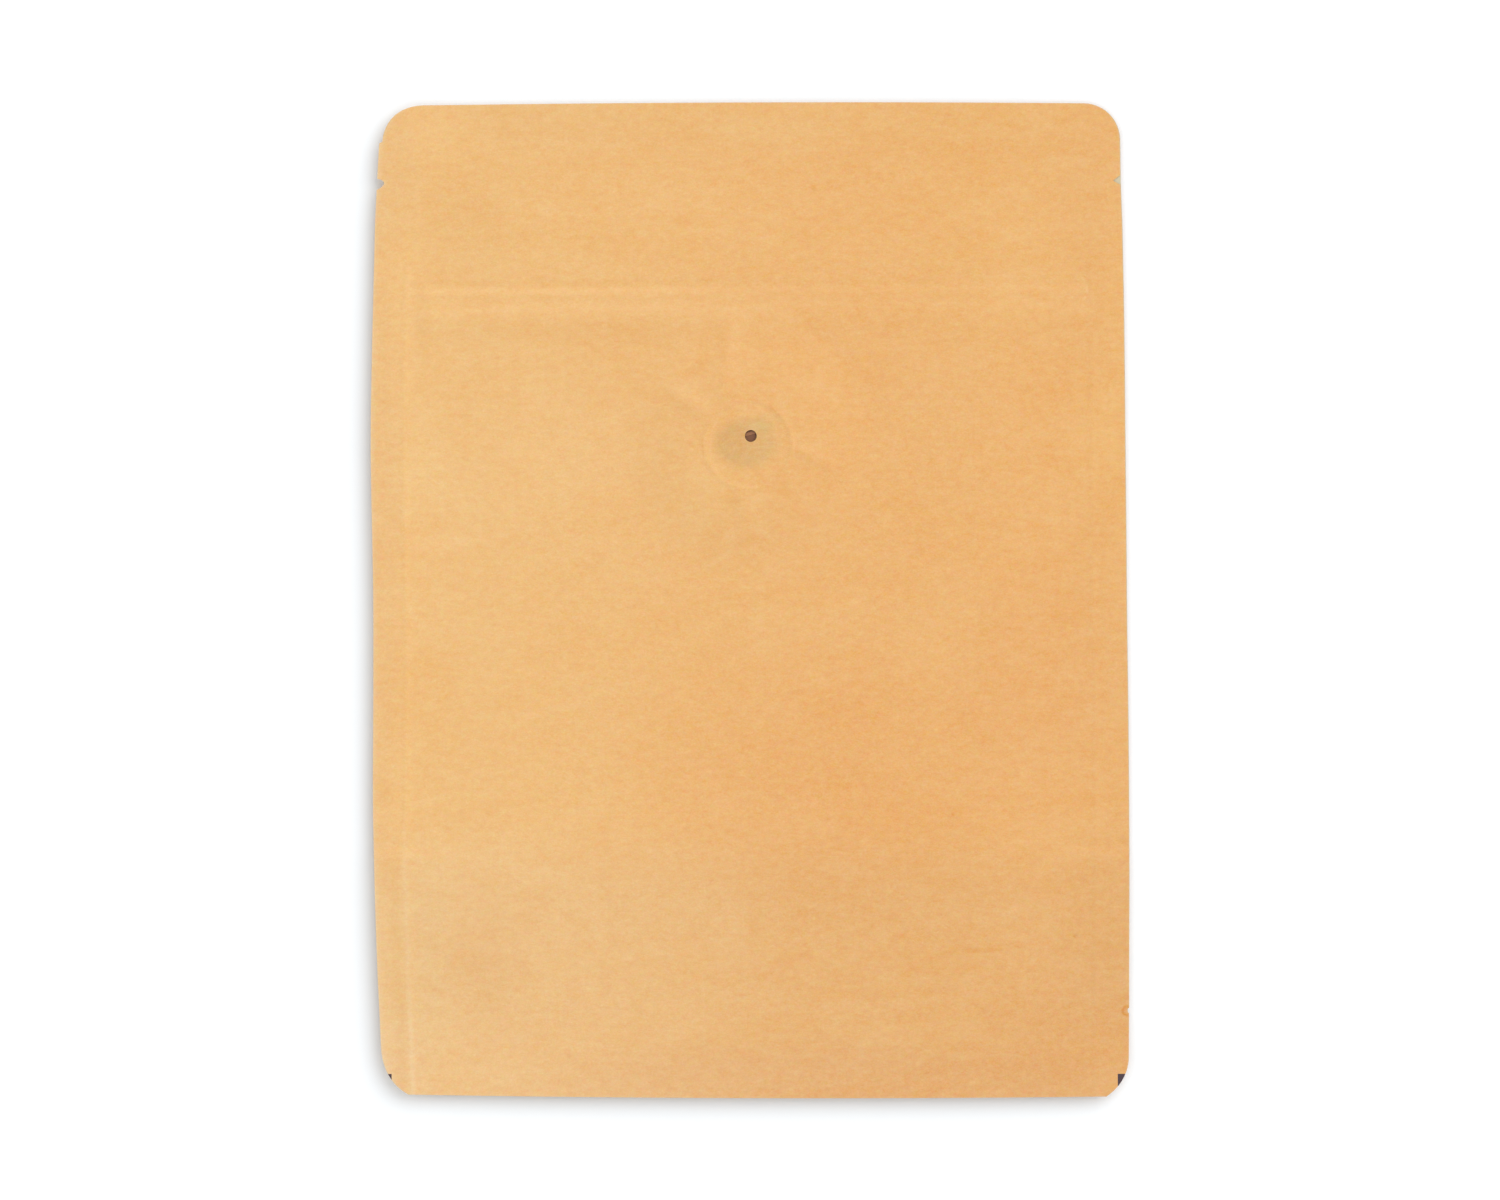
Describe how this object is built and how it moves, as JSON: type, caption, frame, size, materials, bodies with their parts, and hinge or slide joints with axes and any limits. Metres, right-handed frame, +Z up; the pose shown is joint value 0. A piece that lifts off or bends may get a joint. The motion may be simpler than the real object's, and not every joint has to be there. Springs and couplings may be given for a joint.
{
  "type": "stand-up pouch with valve",
  "caption": "Flat empty stand-up pouch of brown kraft paper with rounded corners, side seals, tear notches, a press zipper under the paper and a round degassing valve with a vent hole.",
  "frame": {"origin": "middle of the pouch's box, on the surface that its back lies on", "axes": "+X across the pouch, +Y to its mouth, +Z up out of the valve side"},
  "size_m": [0.191, 0.2508, 0.0049],
  "materials": {
    "kraft_paper": "matt uncoated kraft paper outside, laminated inside",
    "valve_plastic": "satin moulded plastic"
  },
  "bodies": {
    "root": {"pouch": "kraft_paper", "valve": "valve_plastic"}
  },
  "joints": []
}
